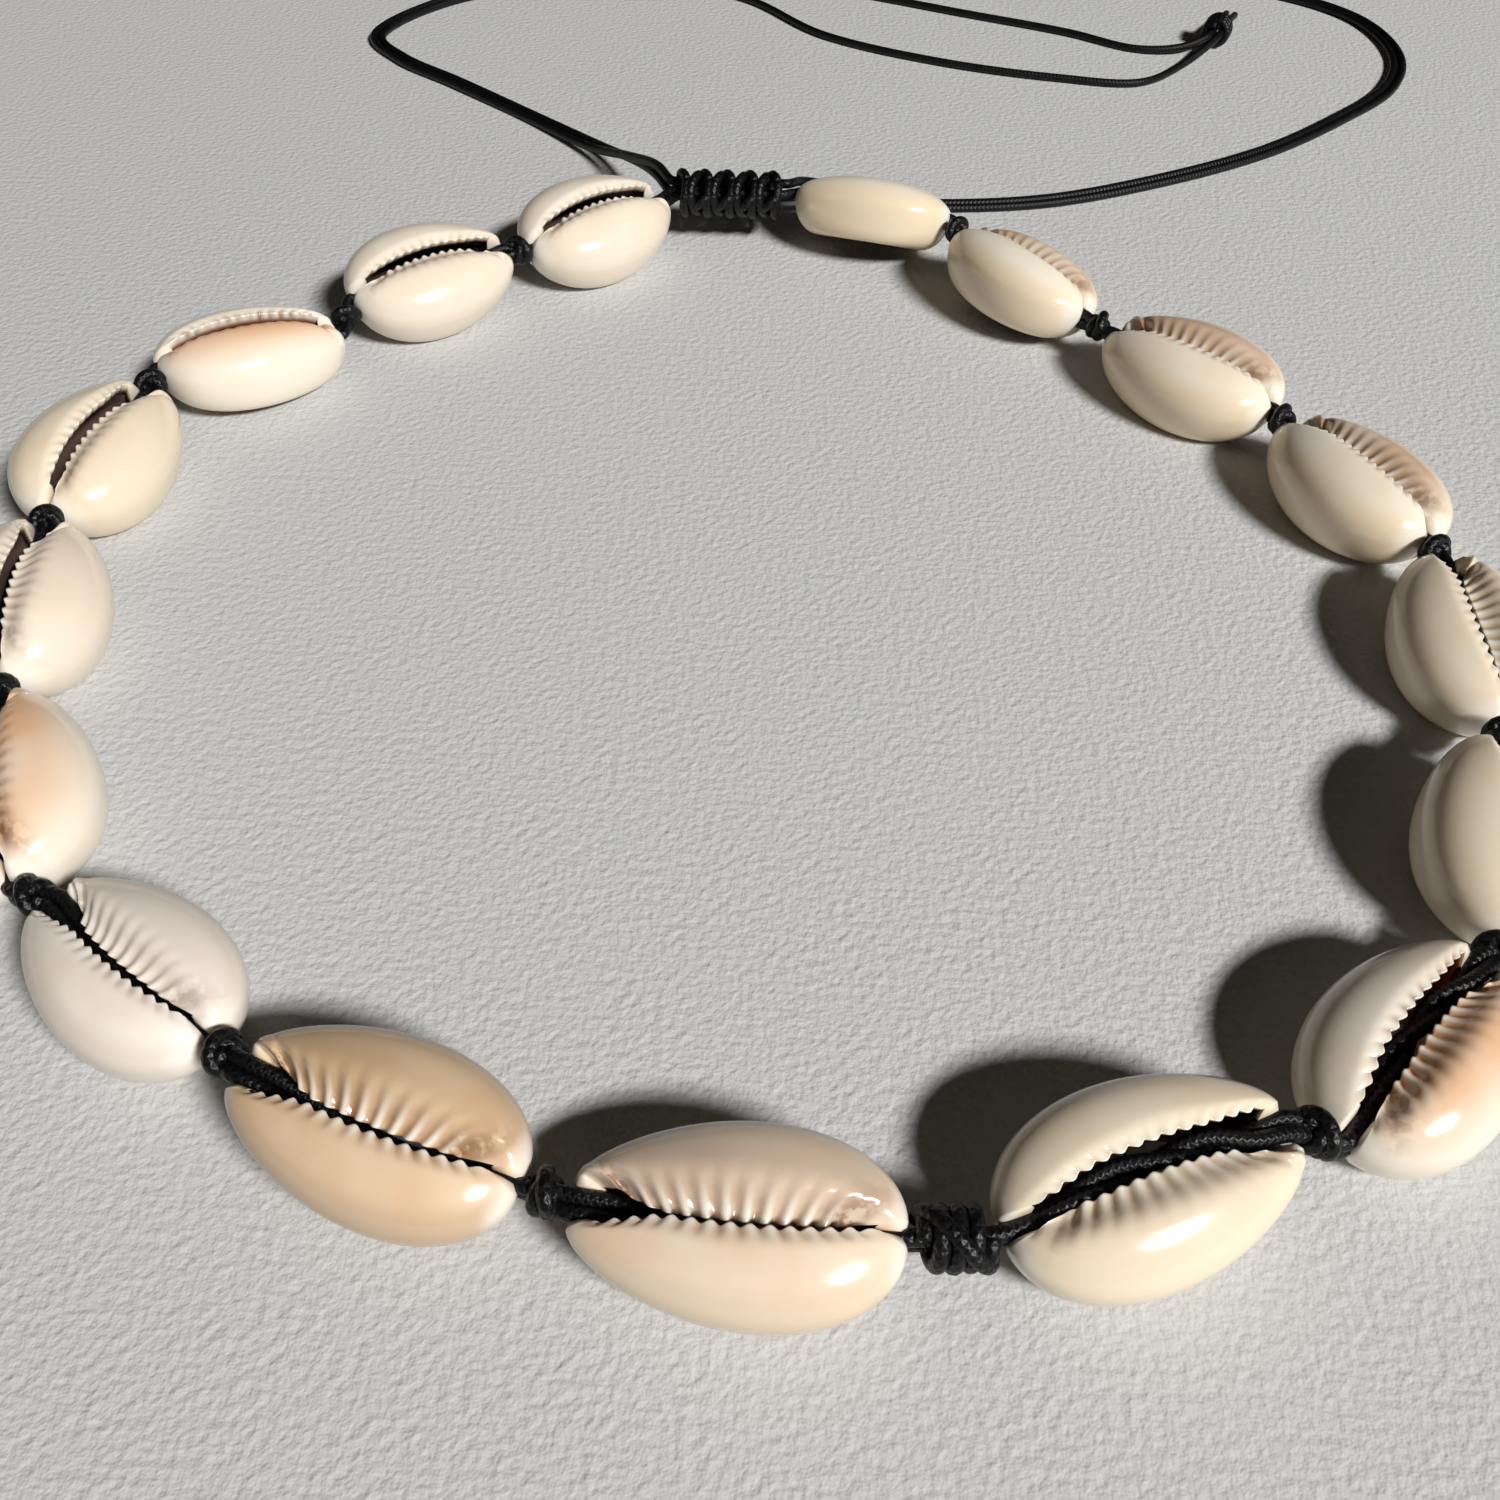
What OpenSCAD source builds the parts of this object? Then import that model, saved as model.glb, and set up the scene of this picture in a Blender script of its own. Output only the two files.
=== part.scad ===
// Shell necklace, laid out flat in a ring with its aperture sides up.
// Seventeen cowries with sliced-off backs are threaded on two waxed cords, with a knot in
// each space. The cords meet in a sliding knot at the back, and leave it as two doubled tails.
// Millimetres. X runs right, Y runs from the centre knot to the sliding knot, Z is up and the
// surface that the necklace lies on is Z = 0.

/* [Shells] */
// Height of a shell from its cut back to the top of its lips
shell_height = 8.5; // [8.2:0.1:9]
// Thickness of the shell wall
shell_wall = 1.2; // [1:0.1:1.4]
// Height of the widest level above the cut back
widest_level = 5.4; // [5.2:0.1:5.6]
// Size of the opening left by the slice, as a share of the outline
cut_share = 0.76; // [0.7:0.01:0.8]
// How much narrower the front end is than the back end
egg_share = 0.12; // [0:0.02:0.2]
// How far the aperture bows towards the outer lip
aperture_bow = 0.8; // [0.4:0.1:1]
// How far each tooth stands out from the lip
tooth_depth = 0.3; // [0.1:0.05:0.35]

/* [Cords] */
// Diameter of one cord
cord_d = 1.15; // [1:0.05:1.2]
// Space between the two cords of a pair
cord_gap = 0.25; // [0.2:0.05:0.3]

/* [Knots] */
// Outer diameter of the knot between two shells
knot_d = 3.8; // [3.7:0.05:3.9]
// Length of the knot between two shells
knot_length = 1.6; // [1.4:0.1:1.7]
// Outer diameter of the centre knot at the front
centre_knot_d = 4.8; // [4.6:0.1:5]
// Outer diameter of the sliding knot
slider_d = 5.4; // [5:0.1:5.6]
// Length of the sliding knot
slider_length = 12.5; // [12:0.5:13]
// Outer diameter of the stopper knot at a tail's end
stopper_d = 4.6; // [4.4:0.1:5]
// Length of the stopper knot at a tail's end
stopper_length = 5; // [4:0.5:6]

/* [Hidden] */
// A row for each shell, in order round the ring from the sliding knot: x, y,
// heading of the front end, outward lean, fall of the front end, length, width, aperture gap.
SHELLS = [
    [-19.5,  60.3,  43, -15,  2, 20.4, 14.2, 1.2],
    [-37.5,  46.4,  35, -20,  0, 19.8, 13.8, 1.2],
    [-54.7,  31.2,  30,   5,  4, 20.0, 13.4, 1.2],
    [-64.2,  11.4,  78, -10, -2, 20.0, 14.2, 1.4],
    [-63.4, -11.2,  97, -10, -2, 19.8, 14.6, 1.4],
    [-57.3, -32.6, 112,   5, -2, 19.8, 14.2, 1.2],
    [-42.5, -48.6, 143,   3,  0, 18.8, 12.6, 1.3],
    [-22.5, -60.5, 160,  10, -3, 20.8, 12.6, 1.2],
    [  0.9, -66.1, 175,   8,  2, 21.2, 12.6, 1.1],
    [ 27.1, -62.8,  21,   6, -2, 20.8, 13.2, 2.6],
    [ 47.4, -52.3,  46,   0, -3, 19.6, 13.6, 2.6],
    [ 60.1, -33.6,  77,   8, -3, 19.8, 13.6, 1.5],
    [ 65.0,  -9.9,  88,   0, -2, 20.6, 13.6, 1.6],
    [ 61.0,  12.9, 115,   2,  2, 20.8, 14.0, 1.4],
    [ 48.1,  32.3, 135,  -5,  2, 20.8, 14.0, 1.2],
    [ 31.7,  51.1, 130,  15, -2, 20.4, 13.4, 1.5],
    [ 14.7,  66.6, 165,  28,  0, 19.6, 12.6, 1.8]
];
SHELL_NAMES = ["01", "02", "03", "04", "05", "06", "07", "08", "09",
               "10", "11", "12", "13", "14", "15", "16", "17"];
shell_count = len(SHELLS);
// Shells before the centre knot point their front ends back towards the sliding knot
front_first = 9;

// Names for the columns of SHELLS
function place_x(i) = SHELLS[i][0];
function place_y(i) = SHELLS[i][1];
function heading(i) = SHELLS[i][2];
function lean(i) = SHELLS[i][3] * (i < front_first ? -1 : 1);
function fall(i) = SHELLS[i][4];
function half_length(i) = SHELLS[i][5] / 2;
function half_width(i) = SHELLS[i][6] / 2;
function gap(i) = SHELLS[i][7];
// A narrow shell is lower too
middle_width = 13.8;
function height(i) = shell_height * 2 * half_width(i) / middle_width;
function half_gap(i) = gap(i) / 2;

// The wall is a grid: columns go round the outline, and rings go round the wall's section
side_columns = 20;
columns = 2 * side_columns;
rings = 9;
// Level of the notch floors that the cords leave by, at the front end and the back end
front_floor = 4.0;
back_floor = 3.4;
// Half the width of a notch, and how far its floor stands back from the tips
notch_half = 0.8;
notch_recess = 0.7;
// Angle round the outline of the tips beside a notch, and of the first toothed column
tip_angle = 9;
first_angle = 17;
// Reach of the aperture along the shell
aperture_reach = 0.84;
// Thickness of the lip at the aperture
lip_thickness = 1.1;
// Drop of each lip's edge below its crest
outer_lip_drop = 0.4;
inner_lip_drop = 0.9;
dome_power = 2.3;
turn_level = 0.6 * shell_height;

function mix(a, b, t) = a + (b - a) * t;
function clamp(t) = min(1, max(0, t));
function flat_length(p) = sqrt(p[0] * p[0] + p[1] * p[1]);

// A column's place along its own side: 0 is the front end's middle, side_columns the back's
function along(j) = j <= side_columns ? j : columns - j;
function side(j) = j == 0 || j == side_columns ? 0 : j < side_columns ? 1 : -1;
function in_notch(j) = along(j) <= 1 || along(j) >= side_columns - 1;
function at_tip(j) = along(j) == 2 || along(j) == side_columns - 2;
function at_front(j) = along(j) < side_columns / 2;
// Share of the way from the first toothed column to the last
function share(j) = (along(j) - 3) / (side_columns - 6);
function end_sign(j) = at_front(j) ? 1 : -1;
function is_tooth(j) = !in_notch(j) && !at_tip(j) && along(j) % 2 == 1;

// Outline at the widest level
function outline_angle(j) =
    at_tip(j) ? (at_front(j) ? tip_angle : 180 - tip_angle)
              : mix(first_angle, 180 - first_angle, share(j));
function outline(i, j) =
    in_notch(j)
        ? [end_sign(j) * (half_length(i) - notch_recess), side(j) * notch_half]
        : [half_length(i) * cos(outline_angle(j)),
           side(j) * half_width(i) * pow(sin(outline_angle(j)), 0.95)
               * (1 - egg_share * cos(outline_angle(j)))];

// Edge of the aperture: wide in front, narrow behind, bowed towards the outer lip
function reach_at(j) = mix(aperture_reach, -aperture_reach, share(j));
function gap_at(i, g) =
    max(half_gap(i), mix(half_gap(i), 0.95, clamp((g + 0.1) / 0.7)),
        mix(half_gap(i), 0.85, clamp((-g - 0.5) / 0.3)));
function bow_at(g) = aperture_bow * (1 - pow(g / aperture_reach, 2));
function tooth_at(j) = is_tooth(j) ? tooth_depth : 0;
function aperture(i, j) =
    in_notch(j)
        ? [end_sign(j) * (half_length(i) - notch_recess - shell_wall - 0.2), side(j) * notch_half]
    : at_tip(j)
        ? [end_sign(j) * (half_length(i) - notch_recess - shell_wall),
           side(j) * (notch_half + 0.1)]
        : [half_length(i) * reach_at(j),
           bow_at(reach_at(j)) + side(j) * (gap_at(i, reach_at(j)) + tooth_depth - tooth_at(j))];

// Height of the aperture side over the cut back, by distance from the middle
function roundness(i, p) =
    min(1, sqrt(pow(p[0] / half_length(i), 2) + pow(p[1] / half_width(i), 2)));
function dome(i, p) =
    mix(widest_level, height(i), sqrt(1 - pow(roundness(i, p), dome_power)));
function floor_level(j) = at_front(j) ? front_floor : back_floor;
function lip_drop(j) = side(j) > 0 ? outer_lip_drop : inner_lip_drop;

function on_lip(i, j, t, drop) =
    let (p = mix(aperture(i, j), outline(i, j), t))
    [p[0], p[1], in_notch(j) ? floor_level(j) : dome(i, p) - drop];
function on_wall(i, j, scale, level, inset) =
    let (o = outline(i, j) * scale, p = o * (1 - inset / flat_length(o)))
    [p[0], p[1], level];
function side_level(j) = in_notch(j) ? floor_level(j) - 0.3 : widest_level;

// The nine rings of the section, from the aperture's edge over the outside to the cut, and
// back up the inside
function shell_point(i, j, k) =
    k == 0 ? on_lip(i, j, 0, lip_drop(j) + (is_tooth(j) ? 0 : 0.25)) :
    k == 1 ? on_lip(i, j, side(j) > 0 ? 0.18 : 0.34, is_tooth(j) ? 0 : 0.12) :
    k == 2 ? on_lip(i, j, 0.66, 0) :
    k == 3 ? on_wall(i, j, 1, side_level(j), 0) :
    k == 4 ? on_wall(i, j, 0.96, 0.42 * widest_level, 0) :
    k == 5 ? on_wall(i, j, cut_share, 0, 0) :
    k == 6 ? on_wall(i, j, cut_share, 0, 0.9 * shell_wall) :
    k == 7 ? on_wall(i, j, 1, 0.55 * widest_level, shell_wall) :
             on_lip(i, j, 0, lip_drop(j) + lip_thickness) - [0, 0, in_notch(j) ? 0.9 : 0];

function shell_points(i) =
    [for (j = [0 : columns - 1]) for (k = [0 : rings - 1]) shell_point(i, j, k)];
function grid_index(j, k) = (j % columns) * rings + (k % rings);
SHELL_FACES = [
    for (j = [0 : columns - 1])
        for (k = [0 : rings - 1])
            for (f = [[grid_index(j, k), grid_index(j + 1, k), grid_index(j + 1, k + 1)],
                      [grid_index(j, k), grid_index(j + 1, k + 1), grid_index(j, k + 1)]])
                f
];

// A shell's turn: lean about its length, fall of the front end, then heading
function turned(i, p) =
    let (q = [p[0], p[1], p[2] - turn_level],
         y1 = q[1] * cos(lean(i)) - q[2] * sin(lean(i)),
         z1 = q[1] * sin(lean(i)) + q[2] * cos(lean(i)),
         x2 = q[0] * cos(fall(i)) + z1 * sin(fall(i)),
         z2 = z1 * cos(fall(i)) - q[0] * sin(fall(i)))
    [x2 * cos(heading(i)) - y1 * sin(heading(i)),
     x2 * sin(heading(i)) + y1 * cos(heading(i)),
     z2];
// Each shell is set down until its lowest point touches the surface
LIFTS = [for (i = [0 : shell_count - 1])
    -min([for (j = [0 : columns - 1]) for (k = [4, 5]) turned(i, shell_point(i, j, k))[2]])];
function placed(i, p) = turned(i, p) + [place_x(i), place_y(i), LIFTS[i]];

// Way of the cord pair through a shell, a row for each point from the front end to the back:
// share of the half length, level, turn of the pair, half spacing of the pair
pair_half = (cord_d + cord_gap) / 2;
notch_clear = 0.2;
front_level = front_floor + pair_half + cord_d / 2 + notch_clear;
back_level = back_floor + pair_half + cord_d / 2 + notch_clear;
mid_level = 3.8;
end_clear = 0.1;
DIVING = [
    [ 1.00, front_level, 0,   pair_half],
    [ 0.66, front_level, 0,   pair_half],
    [ 0.20, mid_level,   60,  0.95],
    [-0.25, mid_level,   120, 0.95],
    [-0.72, back_level,  180, pair_half],
    [-1.00, back_level,  180, pair_half]
];
RIDING = [
    [ 1.00, front_level, 0,   pair_half],
    [ 0.66, front_level, 0,   pair_half],
    [ 0.25, front_level, 0,   pair_half],
    [-0.25, front_level, 0,   pair_half],
    [-0.72, back_level,  0,   pair_half],
    [-1.00, back_level,  0,   pair_half]
];
riding_gap = 1.9;
function rides(i) = gap(i) >= riding_gap;
function way(i) = rides(i) ? RIDING : DIVING;
function pair_turn(i) = i == 0 ? 0 : pair_turn(i - 1) + (rides(i - 1) ? 0 : 180);
function row_turn(i, row) = i < front_first ? row[2] : (rides(i) ? 0 : 180) - row[2];
function way_points(i, sign) = [
    for (n = [0 : len(way(i)) - 1])
        let (row = way(i)[i < front_first ? n : len(way(i)) - 1 - n],
             phase = 90 + pair_turn(i) + row_turn(i, row),
             u = row[0] * half_length(i) + (abs(row[0]) == 1 ? row[0] * end_clear : 0),
             v = abs(row[0]) == 1 ? 0 : bow_at(row[0]))
        placed(i, [u, v + sign * row[3] * cos(phase), row[1] + sign * row[3] * sin(phase)])
];

// Middle of the cord pair where it leaves a shell, towards the sliding knot's left side or on
// round the ring
function entry(i) = (way_points(i, 1)[0] + way_points(i, -1)[0]) / 2;
function exit_(i) = (way_points(i, 1)[5] + way_points(i, -1)[5]) / 2;
// How far each knot sits past the middle of its space, to keep clear of both shells
KNOT_SHIFTS = [0, 0.2, 1.2, 0.15, -0.05, 0.5, -0.2, 0, 0, -0.3, -0.4, 0, -0.2, -0.2, 0, -0.7];
slider_mid = [-3.5, 67.7, 6.4];
slider_axis = [1, 0, 0];
// The cords run straight for a little way inside and outside the sliding knot
slider_in = 0.3;
slider_out = slider_length / 2 + 0.4;
function unit(v) = v / norm(v);
// The cords run in at the sliding knot's ends, turned as they left the shells
function slider_point(i, end, sign, s) =
    slider_mid + s * slider_axis
        + (way_points(i, sign)[end] - way_points(i, -sign)[end]) / 2;
function loop_points(sign) = concat(
    [slider_point(0, 0, sign, -slider_in), slider_point(0, 0, sign, -slider_out)],
    [for (i = [0 : shell_count - 1]) for (p = way_points(i, sign)) p],
    [slider_point(shell_count - 1, 5, sign, slider_out),
     slider_point(shell_count - 1, 5, sign, slider_in)]);

// Tube swept along a route, with its rings square to the way between their neighbours
function tangent(p, n) = unit(p[min(n + 1, len(p) - 1)] - p[max(n - 1, 0)]);
function tube_ring(p, n, r, sides) =
    let (t = tangent(p, n), s = unit(cross([0, 0, 1], t)), u = cross(t, s))
    [for (m = [0 : sides - 1])
        p[n] + r * (cos(360 * (m + 0.5) / sides) * s + sin(360 * (m + 0.5) / sides) * u)];
module tube(route, d, sides) {
    count = len(route);
    points = [for (n = [0 : count - 1]) for (q = tube_ring(route, n, d / 2, sides)) q];
    walls = [for (n = [0 : count - 2]) for (m = [0 : sides - 1])
        [n * sides + m, n * sides + (m + 1) % sides,
         (n + 1) * sides + (m + 1) % sides, (n + 1) * sides + m]];
    caps = [[for (m = [sides - 1 : -1 : 0]) m],
            [for (m = [0 : sides - 1]) (count - 1) * sides + m]];
    polyhedron(points, [for (f = concat(caps, walls)) [for (m = [len(f) - 1 : -1 : 0]) f[m]]]);
}

// A knot: cord wound round the pair, drilled for the pair to run through
bore_d = 2 * pair_half + cord_d + 0.3;
wrap_steps = 4;
module wound_knot(d, length, wraps) {
    pitch = length / wraps;
    profile = concat(
        [[bore_d / 2, -length / 2]],
        [for (w = [0 : wraps - 1]) for (s = [0 : wrap_steps - 1])
            [d / 2 - 0.35 * pitch * (1 - sin(180 * (s + 0.5) / wrap_steps)),
             -length / 2 + pitch * (w + (s + 0.5) / wrap_steps)]],
        [[bore_d / 2, length / 2]]);
    rotate_extrude($fn = 48) polygon(profile);
}
module lay_along(mid, axis) {
    translate(mid)
        rotate([0, acos(axis[2]), atan2(axis[1], axis[0])])
            children();
}

// Tails: each is a pair of cords that leaves the sliding knot's end face beside the loop cords,
// comes down to the surface and ends in a stopper knot. Routes are of the cords' middles.
rest_z = cord_d / 2 + 0.02;
face_gap = 0.05;
face_ring = 2.1;
tail_half = 0.7;
function face_point(end, angle, out) =
    slider_mid + [end * (slider_length / 2 + face_gap + out),
                  face_ring * sin(angle), face_ring * cos(angle)];
function start(end, angle) = [face_point(end, angle, 0), face_point(end, angle, 1)];
high_angle = 75;
low_angle = 118;
// A row for each point that the two cords of a pair share: the middle of the pair, and the
// pair's turn, where 0 is side by side on the surface and 90 is one over the other
LEFT_SHARED = [
    [-13, 74, 6.2, 90], [-16.5, 81, 4.4, 45], [-23, 91, 1.6, 0], [-32, 101, rest_z, 0],
    [-46, 113.5, rest_z, 0], [-56, 122, rest_z, 0], [-61.5, 131, rest_z, 0],
    [-54, 145.5, rest_z, 0]
];
LEFT_INNER = [
    [-36, 156, rest_z], [-18, 158, rest_z], [-3, 151, rest_z], [10, 136, rest_z],
    [28, 126.5, rest_z], [46, 121.5, rest_z], [58, 120.5, rest_z], [66, 127.5, rest_z]
];
LEFT_OUTER = [
    [-36, 159.5, rest_z], [-14, 163, rest_z], [8, 158, rest_z], [34, 147, rest_z],
    [50, 140, rest_z], [60, 134, rest_z], [67, 133.5, 1.2]
];
RIGHT_SHARED = [
    [5.5, 73.2, 5, 90], [9.5, 76.1, 3.2, 45], [15, 77.5, 1.4, 0], [22, 78, rest_z, 0],
    [38, 80, rest_z, 0], [54, 86.5, rest_z, 0], [72, 97, rest_z, 0], [86, 109, rest_z, 0],
    [97, 121, rest_z, 0], [102, 134, rest_z, 0], [100, 149, rest_z, 0],
    [90, 159.5, rest_z, 0], [70, 166, rest_z, 0], [45, 170, rest_z, 0], [20, 172, rest_z, 0]
];
// Way of one cord of a pair, by is how far it lies to the left of the pair's middle
function beside(shared, by) =
    let (middle = [for (row = shared) [row[0], row[1], row[2]]])
    [for (n = [0 : len(shared) - 1])
        let (t = tangent(middle, n), flat = flat_length(t), turn = shared[n][3])
        middle[n] + by * [-t[1] / flat * cos(turn), t[0] / flat * cos(turn), sin(turn)]];

// Stopper knots: middle of each, way of the cords through it, and length of the bare ends
stopper_z = stopper_d / 2 + 0.02;
left_stopper_mid = [73.5, 138, stopper_z];
left_stopper_axis = unit([0.4, 0.92, 0]);
right_stopper_mid = [4, 172.5, stopper_z];
right_stopper_axis = [-1, 0, 0];
bare_end = 10;
function through(mid, axis, by) =
    let (across = by * [-axis[1], axis[0], 0], half = stopper_length / 2 + 0.5)
    [mid + across - half * axis, mid + across + half * axis,
     mid + across + (half + bare_end) * axis - [0, 0, stopper_z - rest_z]];
left_inner_route = concat(start(-1, low_angle), beside(LEFT_SHARED, -tail_half), LEFT_INNER,
                          through(left_stopper_mid, left_stopper_axis, -pair_half));
left_outer_route = concat(start(-1, high_angle), beside(LEFT_SHARED, tail_half), LEFT_OUTER,
                          through(left_stopper_mid, left_stopper_axis, pair_half));
right_inner_route = concat(start(1, high_angle), beside(RIGHT_SHARED, tail_half),
                           through(right_stopper_mid, right_stopper_axis, pair_half));
right_outer_route = concat(start(1, low_angle), beside(RIGHT_SHARED, -tail_half),
                           through(right_stopper_mid, right_stopper_axis, -pair_half));

module cowrie(i) {
    color("antiquewhite")
        polyhedron([for (p = shell_points(i)) placed(i, p)], SHELL_FACES);
}
module knot(i) {
    a = exit_(i);
    b = entry(i + 1);
    big = i == front_first - 1;
    color("black")
        lay_along((a + b) / 2 + KNOT_SHIFTS[i] * unit(b - a), unit(b - a))
            wound_knot(big ? centre_knot_d : knot_d, big ? norm(b - a) - 1 : knot_length,
                       big ? 4 : 2);
}
module sliding_knot() {
    color("black")
        lay_along(slider_mid, slider_axis)
            wound_knot(slider_d, slider_length, 8);
}
module tail_cord(route) {
    color("black") tube(route, cord_d, 8);
}
module stopper(mid, axis) {
    color("black") lay_along(mid, axis) wound_knot(stopper_d, stopper_length, 3);
}
module loop_cord(sign) {
    color("black") tube(loop_points(sign), cord_d, 6);
}

for (i = [0 : shell_count - 1])
    cowrie(i);
for (i = [0 : shell_count - 2])
    knot(i);
sliding_knot();
loop_cord(1);  // loop_cord_upper
loop_cord(-1);  // loop_cord_lower
tail_cord(left_inner_route);  // left_tail_inner
tail_cord(left_outer_route);  // left_tail_outer
stopper(left_stopper_mid, left_stopper_axis);  // left_stopper
tail_cord(right_inner_route);  // right_tail_inner
tail_cord(right_outer_route);  // right_tail_outer
stopper(right_stopper_mid, right_stopper_axis);  // right_stopper
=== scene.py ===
"""Dresses the shell necklace: glossy sliced cowries on a doubled waxed cord, its knots and tails.

Shapes are worked out in millimetres in the part's own frame, and turned to metres as each mesh is
finished. X runs right, Y runs away from the camera and Z is up from the surface it lies on.
"""

import logging
from dataclasses import dataclass, field
from enum import Enum
from functools import cache, cached_property
from math import cos, hypot, pi, radians, sin, sqrt

import bmesh
import bpy
from bmesh.types import BMesh, BMVert
from bpy.types import Material, Node, NodeSocket, NodeTree, Object
from mathutils import Matrix, Vector


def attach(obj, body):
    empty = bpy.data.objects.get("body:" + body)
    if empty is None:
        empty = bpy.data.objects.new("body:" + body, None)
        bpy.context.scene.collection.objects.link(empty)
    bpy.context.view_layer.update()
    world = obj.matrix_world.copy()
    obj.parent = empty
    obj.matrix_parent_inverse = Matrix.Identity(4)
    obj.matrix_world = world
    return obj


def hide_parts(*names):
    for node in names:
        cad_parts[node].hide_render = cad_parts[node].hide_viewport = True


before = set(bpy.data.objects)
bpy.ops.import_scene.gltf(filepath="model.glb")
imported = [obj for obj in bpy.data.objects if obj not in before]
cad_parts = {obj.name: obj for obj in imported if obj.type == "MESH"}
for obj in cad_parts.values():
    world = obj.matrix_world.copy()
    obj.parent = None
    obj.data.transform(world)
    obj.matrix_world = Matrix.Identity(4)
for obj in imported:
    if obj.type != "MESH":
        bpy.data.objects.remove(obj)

LOG = logging.getLogger("shell_necklace")
MM = 0.001
BODY = "root"
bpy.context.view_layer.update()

Row = tuple[float, ...]
Colour = tuple[float, float, float, float]


def mix(a: float, b: float, t: float) -> float:
    """Returns the value that is the share t of the way from a to b."""
    return a + (b - a) * t


def clamp(t: float) -> float:
    """Returns t held between 0 and 1."""
    return min(1.0, max(0.0, t))


def shares(count: int) -> list[float]:
    """Returns the shares from 0 to 1 that a number of equal steps ends at."""
    return [n / count for n in range(count + 1)]


def smooth(low: float, high: float, t: float) -> float:
    """Returns 0 at low and beyond it, 1 at high and beyond it, and a smooth step between them."""
    s = clamp((t - low) / (high - low))
    return s * s * (3 - 2 * s)


def bump(t: float, middle: float, half: float) -> float:
    """Returns a smooth bump of height 1 at the middle, that is 0 beyond twice the half width."""
    return smooth(2 * half, 0, abs(t - middle))


def linear(code: str) -> Colour:
    """Turns an sRGB hex code, with its hash sign, into a linear colour with an alpha of 1."""
    parts = [int(code[n:n + 2], 16) / 255 for n in (1, 3, 5)]
    return (*(c / 12.92 if c <= 0.04045 else ((c + 0.055) / 1.055) ** 2.4 for c in parts), 1.0)


def add_node(tree: NodeTree, kind: str, settings: dict | None = None,
             sockets: dict | None = None) -> Node:
    """Adds a node, with its settings, and with values or links on its sockets.

    Args:
        tree: The node tree that the node goes into.
        kind: The node's type name.
        settings: Attributes of the node.
        sockets: Input name or number to a value, or to the output socket that feeds it.

    Returns:
        The new node.
    """
    node = tree.nodes.new(kind)
    for name, value in (settings or {}).items():
        setattr(node, name, value)
    for name, value in (sockets or {}).items():
        if isinstance(value, NodeSocket):
            tree.links.new(value, node.inputs[name])
        else:
            node.inputs[name].default_value = value
    return node


def new_material(name: str) -> tuple[Material, NodeTree]:
    """Makes a material.

    Args:
        name: The material's name.

    Returns:
        The material and its empty node tree.
    """
    material = bpy.data.materials.new(name)
    material.use_nodes = True
    material.node_tree.nodes.clear()
    return material, material.node_tree


def finish_material(tree: NodeTree, sockets: dict) -> None:
    """Adds a material's shader, with values or links on its sockets, and its output."""
    shader = add_node(tree, "ShaderNodeBsdfPrincipled", sockets=sockets)
    add_node(tree, "ShaderNodeOutputMaterial", sockets={"Surface": shader.outputs["BSDF"]})


def scaled_noise(tree: NodeTree, size_mm: float, detail: float) -> NodeSocket:
    """Adds noise on the piece's own coordinates.

    Args:
        tree: The material's node tree.
        size_mm: Size of one patch, in millimetres.
        detail: How many finer octaves the noise has.

    Returns:
        The noise's value.
    """
    place = add_node(tree, "ShaderNodeTexCoord")
    noise = add_node(tree, "ShaderNodeTexNoise", sockets={
        "Vector": place.outputs["Object"], "Scale": 1 / (size_mm * MM), "Detail": detail})
    return noise.outputs["Fac"]


def bumped(tree: NodeTree, height: NodeSocket, depth_mm: float, strength: float) -> NodeSocket:
    """Turns a height, whose unit is a depth in millimetres, into a shader's normal."""
    node = add_node(tree, "ShaderNodeBump", sockets={
        "Strength": strength, "Distance": depth_mm * MM, "Height": height})
    return node.outputs["Normal"]


def spread(tree: NodeTree, value: NodeSocket, low: float, high: float,
           top: float = 1.0) -> NodeSocket:
    """Stretches a value smoothly so that low becomes 0 and high becomes top, and holds it there."""
    node = add_node(tree, "ShaderNodeMapRange", {"interpolation_type": "SMOOTHSTEP"}, {
        "Value": value, "From Min": low, "From Max": high, "To Min": 0.0, "To Max": top})
    return node.outputs["Result"]


def arithmetic(tree: NodeTree, operation: str, first: float | NodeSocket,
               second: float | NodeSocket = 0.0) -> NodeSocket:
    """Combines two values with one operation of arithmetic."""
    node = add_node(tree, "ShaderNodeMath", {"operation": operation}, {0: first, 1: second})
    return node.outputs[0]


def times(tree: NodeTree, first: NodeSocket, second: float | NodeSocket) -> NodeSocket:
    """Multiplies two values."""
    return arithmetic(tree, "MULTIPLY", first, second)


def plus(tree: NodeTree, first: NodeSocket, second: float | NodeSocket) -> NodeSocket:
    """Adds two values."""
    return arithmetic(tree, "ADD", first, second)


def tint(tree: NodeTree, share: NodeSocket, base: Colour | NodeSocket, over: str) -> NodeSocket:
    """Lays a share of an sRGB colour over a base colour."""
    node = add_node(tree, "ShaderNodeMix", {"data_type": "RGBA"},
                    {0: share, 6: base, 7: linear(over)})
    return node.outputs[2]


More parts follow.
